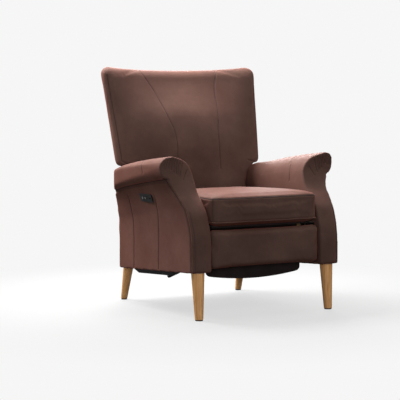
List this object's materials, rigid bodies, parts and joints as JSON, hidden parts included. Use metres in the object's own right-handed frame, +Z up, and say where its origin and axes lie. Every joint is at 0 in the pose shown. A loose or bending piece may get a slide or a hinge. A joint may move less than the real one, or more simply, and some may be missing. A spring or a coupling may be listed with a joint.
{
  "type": "recliner",
  "caption": "Power recliner with scroll arms, a winged back with a lumbar bulge, tapered wooden legs, a fold-out footrest with a hinged flap and a push-button control on its side.",
  "frame": {"origin": "on the floor, in the middle of the chair's plan box", "axes": "+Z up; the chair faces -Y; +X is to the right seen from the front"},
  "size_m": [0.8602, 0.8172, 1.0545],
  "materials": {
    "upholstery": "brushed matte hide",
    "leg_wood": "clear satin lacquer on pale oak",
    "frame_timber": "sawn",
    "black_cloth": "plain woven",
    "black_plastic": "moulded satin",
    "button_plastic": "moulded satin",
    "black_steel": "black powder coat",
    "zinc_steel": "zinc plated"
  },
  "bodies": {
    "base": {"front_left_leg": "leg_wood", "front_right_leg": "leg_wood", "rear_left_leg": "leg_wood", "rear_right_leg": "leg_wood", "leg_glides": "black_plastic", "leg_plates": "zinc_steel", "leg_bolts": "zinc_steel", "left_arm_frame": "frame_timber", "right_arm_frame": "frame_timber", "left_arm_pad": "upholstery", "right_arm_pad": "upholstery", "left_outer_panel": "upholstery", "right_outer_panel": "upholstery", "rear_base_rail": "frame_timber", "rear_panel": "upholstery", "dust_cover": "black_cloth", "power_inlet": "black_plastic", "left_side_plate": "black_steel", "right_side_plate": "black_steel", "mechanism_rails": "black_steel", "seat_frame": "frame_timber", "seat_springs": "zinc_steel", "spring_clips": "zinc_steel", "seat_deck": "black_cloth", "seat_cushion": "upholstery", "crank_pivot_pins": "zinc_steel", "back_hinge_pins": "zinc_steel", "control_plate": "black_plastic", "control_housing": "black_plastic", "usb_socket": "black_plastic", "actuator_bracket": "black_steel", "actuator_pin": "zinc_steel", "actuator_gearbox": "black_plastic", "actuator_motor": "black_steel", "actuator_tube": "black_steel"},
    "rear_cranks": {"left_rear_crank": "black_steel", "right_rear_crank": "black_steel", "torque_tube": "black_steel", "drive_arm": "black_steel"},
    "front_cranks": {"left_front_crank": "black_steel", "right_front_crank": "black_steel"},
    "carriers": {"left_carrier": "black_steel", "right_carrier": "black_steel", "carrier_pins": "zinc_steel"},
    "footrest": {"footrest_board": "frame_timber", "footrest_pad": "upholstery", "footrest_brackets": "black_steel", "footrest_pins": "zinc_steel"},
    "flap": {"flap_board": "frame_timber", "flap_pad": "black_cloth", "flap_brackets": "black_steel"},
    "rod": {"actuator_rod": "zinc_steel"},
    "back": {"back_frame": "frame_timber", "back_webbing": "black_cloth", "back_pad": "upholstery", "back_outer_panel": "upholstery", "back_brackets": "black_steel"},
    "open_button": {"open_button": "button_plastic"},
    "close_button": {"close_button": "button_plastic"}
  },
  "joints": [
    {"name": "footrest_extend", "type": "hinge", "parent": "base", "child": "rear_cranks", "pos_m": [0, -0.1825, 0.335], "axis": [-1, 0, 0], "range_deg": [0, 115]},
    {"name": "front_crank_turn", "type": "hinge", "parent": "base", "child": "front_cranks", "pos_m": [0, -0.25815, 0.36102], "axis": [-1, 0, 0], "range_deg": [0, 115]},
    {"name": "carrier_turn", "type": "hinge", "parent": "rear_cranks", "child": "carriers", "pos_m": [0, -0.03474, 0.14588], "axis": [-1, 0, 0], "range_deg": [-115, 0]},
    {"name": "panel_turn", "type": "hinge", "parent": "carriers", "child": "footrest", "pos_m": [0, -0.3375, 0.25], "axis": [-1, 0, 0], "range_deg": [0, 85]},
    {"name": "flap_turn", "type": "hinge", "parent": "footrest", "child": "flap", "pos_m": [0, -0.3175, 0.362], "axis": [-1, 0, 0], "range_deg": [-153, 0]},
    {"name": "rod_slide", "type": "slide", "parent": "base", "child": "rod", "axis": [0, -1, 0], "range_m": [0, 0.1181]},
    {"name": "back_recline", "type": "hinge", "parent": "base", "child": "back", "pos_m": [0, 0.1725, 0.34], "axis": [-1, 0, 0], "range_deg": [0, 30]},
    {"name": "open_button_press", "type": "slide", "parent": "base", "child": "open_button", "axis": [0.9527, 0, 0.3038], "range_m": [0, 0.0015], "stiffness_N_per_m": 600},
    {"name": "close_button_press", "type": "slide", "parent": "base", "child": "close_button", "axis": [0.9527, 0, 0.3038], "range_m": [0, 0.0015], "stiffness_N_per_m": 600}
  ],
  "couplings": [
    {"joint": "front_crank_turn", "follows": "footrest_extend", "ratio": 1},
    {"joint": "carrier_turn", "follows": "footrest_extend", "ratio": -1},
    {"joint": "panel_turn", "follows": "footrest_extend", "ratio": 0.73913},
    {"joint": "flap_turn", "follows": "footrest_extend", "ratio": -1.3304},
    {"joint": "rod_slide", "follows": "footrest_extend", "m_per_rad": 0.058828}
  ]
}
